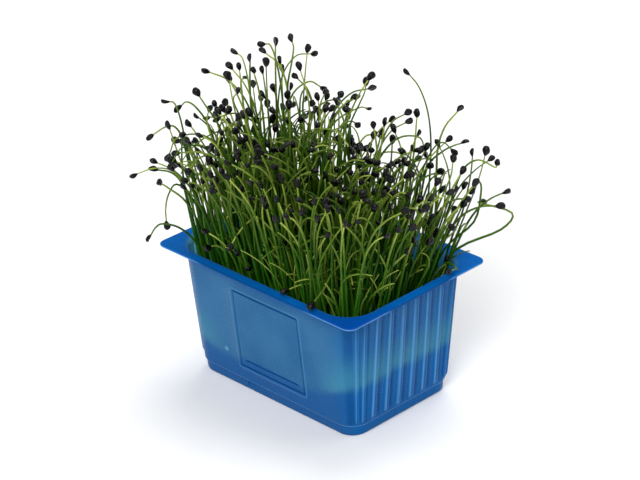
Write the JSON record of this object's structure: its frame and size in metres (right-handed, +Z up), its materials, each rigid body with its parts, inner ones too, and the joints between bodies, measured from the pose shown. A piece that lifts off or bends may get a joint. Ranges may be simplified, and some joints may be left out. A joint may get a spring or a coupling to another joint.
{
  "type": "microgreens tray",
  "caption": "Tapered see-through plastic tray with a flat rim and ribbed ends, holding a block of growing medium and a dense stand of onion-type sprouts with seed coats on their tips.",
  "frame": {"origin": "middle of the tray's flat underside", "axes": "+X along the tray towards one ribbed end wall, +Y across it away from the wall with the moulded frame, +Z up"},
  "size_m": [0.1206, 0.0946, 0.1255],
  "materials": {
    "tray": "blue see-through thermoformed plastic",
    "growing_medium": "dark moist plant fibre",
    "sprouts": "green stems, paler at the foot, with black seed coats"
  },
  "bodies": {
    "root": {"tray": "tray", "growing_medium": "growing_medium", "sprouts_01": "sprouts", "sprouts_02": "sprouts", "sprouts_03": "sprouts", "sprouts_04": "sprouts", "sprouts_05": "sprouts", "sprouts_06": "sprouts", "sprouts_07": "sprouts", "sprouts_08": "sprouts", "sprouts_09": "sprouts", "sprouts_10": "sprouts", "sprouts_11": "sprouts", "sprouts_12": "sprouts", "sprouts_13": "sprouts", "sprouts_14": "sprouts", "sprouts_15": "sprouts", "sprouts_16": "sprouts", "sprouts_17": "sprouts", "sprouts_18": "sprouts", "sprouts_19": "sprouts", "sprouts_20": "sprouts", "sprouts_21": "sprouts", "sprouts_22": "sprouts", "sprouts_23": "sprouts", "sprouts_24": "sprouts", "sprouts_25": "sprouts", "sprouts_26": "sprouts", "sprouts_27": "sprouts", "sprouts_28": "sprouts", "sprouts_29": "sprouts", "sprouts_30": "sprouts", "sprouts_31": "sprouts", "sprouts_32": "sprouts", "sprouts_33": "sprouts", "sprouts_34": "sprouts", "sprouts_35": "sprouts", "sprouts_36": "sprouts", "sprouts_37": "sprouts", "sprouts_38": "sprouts", "sprouts_39": "sprouts", "sprouts_40": "sprouts", "sprouts_41": "sprouts", "sprouts_42": "sprouts", "sprouts_43": "sprouts", "sprouts_44": "sprouts", "sprouts_45": "sprouts", "sprouts_46": "sprouts", "sprouts_47": "sprouts", "sprouts_48": "sprouts", "sprouts_49": "sprouts", "sprouts_50": "sprouts", "sprouts_51": "sprouts", "sprouts_52": "sprouts", "sprouts_53": "sprouts", "sprouts_54": "sprouts"}
  },
  "joints": []
}
